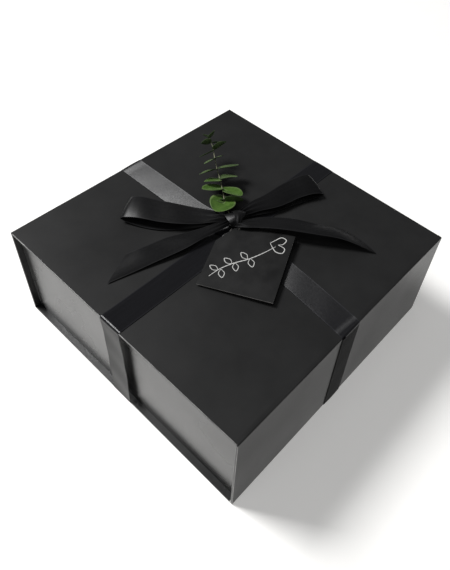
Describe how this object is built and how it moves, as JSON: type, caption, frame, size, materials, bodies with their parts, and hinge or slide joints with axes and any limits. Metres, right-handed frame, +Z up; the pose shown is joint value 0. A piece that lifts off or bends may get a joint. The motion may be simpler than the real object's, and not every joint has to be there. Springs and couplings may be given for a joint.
{
  "type": "gift box",
  "caption": "Rigid square gift box with a book-style hinged lid and magnetic flap, tied both ways with satin ribbon, a bow, a card tag and a leafy sprig.",
  "frame": {"origin": "on the surface the box stands on, under the middle of the box", "axes": "+Z up; -Y towards the magnetic front flap, +Y towards the hinged spine; +X along the hinge"},
  "size_m": [0.3006, 0.3006, 0.1572],
  "materials": {
    "black_board": "matte uncoated black paper over greyboard",
    "black_paper": "matte uncoated black paper",
    "magnet": "bright nickel plate",
    "satin_ribbon": "single-faced black satin with woven edges",
    "tag_card": "matte black card with grey cut edges",
    "tag_cord": "twisted natural cotton string",
    "stem": "smooth yellow-green twig",
    "leaf": "waxy eucalyptus leaf with a paler rim"
  },
  "bodies": {
    "tray": {"base_panel": "black_board", "spine_panel": "black_board", "base_hinge_paper": "black_paper", "tray_front_wall": "black_board", "tray_back_wall": "black_board", "tray_left_wall": "black_board", "tray_right_wall": "black_board", "tray_floor": "black_board", "tray_liner": "black_paper", "tray_magnet_left": "magnet", "tray_magnet_right": "magnet", "ribbon_side_left": "satin_ribbon", "ribbon_side_right": "satin_ribbon", "ribbon_back": "satin_ribbon", "ribbon_under_x": "satin_ribbon", "ribbon_under_y": "satin_ribbon"},
    "lid": {"lid_panel": "black_board", "lid_liner": "black_paper", "lid_hinge_paper": "black_paper", "flap_hinge_paper": "black_paper", "ribbon_top_left": "satin_ribbon", "ribbon_top_right": "satin_ribbon", "ribbon_top_back": "satin_ribbon", "ribbon_top_front": "satin_ribbon", "bow_knot": "satin_ribbon", "bow_loop_left": "satin_ribbon", "bow_loop_right": "satin_ribbon", "bow_tail_left": "satin_ribbon", "bow_tail_right": "satin_ribbon"},
    "flap": {"front_flap": "black_board", "flap_liner": "black_paper", "flap_magnet_left": "magnet", "flap_magnet_right": "magnet", "ribbon_front": "satin_ribbon"},
    "tag": {"tag_card": "tag_card", "tag_string": "tag_cord"},
    "sprig": {"sprig_stem": "stem", "leaf_pair_1": "leaf", "leaf_pair_2": "leaf", "leaf_pair_3": "leaf", "leaf_pair_4": "leaf", "leaf_pair_5": "leaf", "leaf_pair_6": "leaf", "leaf_pair_7": "leaf", "leaf_pair_8": "leaf", "leaf_pair_9": "leaf"}
  },
  "joints": [
    {"name": "lid_hinge", "type": "hinge", "parent": "tray", "child": "lid", "pos_m": [0, 0.1489, 0.1189], "axis": [-1, 0, 0], "range_deg": [0, 180], "deforming": ["ribbon_side_left", "ribbon_side_right"]},
    {"name": "flap_hinge", "type": "hinge", "parent": "lid", "child": "flap", "pos_m": [0, -0.1489, 0.1189], "axis": [-1, 0, 0], "range_deg": [0, 95]},
    {"name": "tag_swing", "type": "hinge", "parent": "lid", "child": "tag", "pos_m": [0.007, 0.003, 0.1256], "axis": [0, 0, 1], "range_deg": [-12, 6]},
    {"name": "sprig_pull", "type": "slide", "parent": "lid", "child": "sprig", "axis": [0.5292, 0.8243, 0.2011], "range_m": [0, 0.03]}
  ]
}
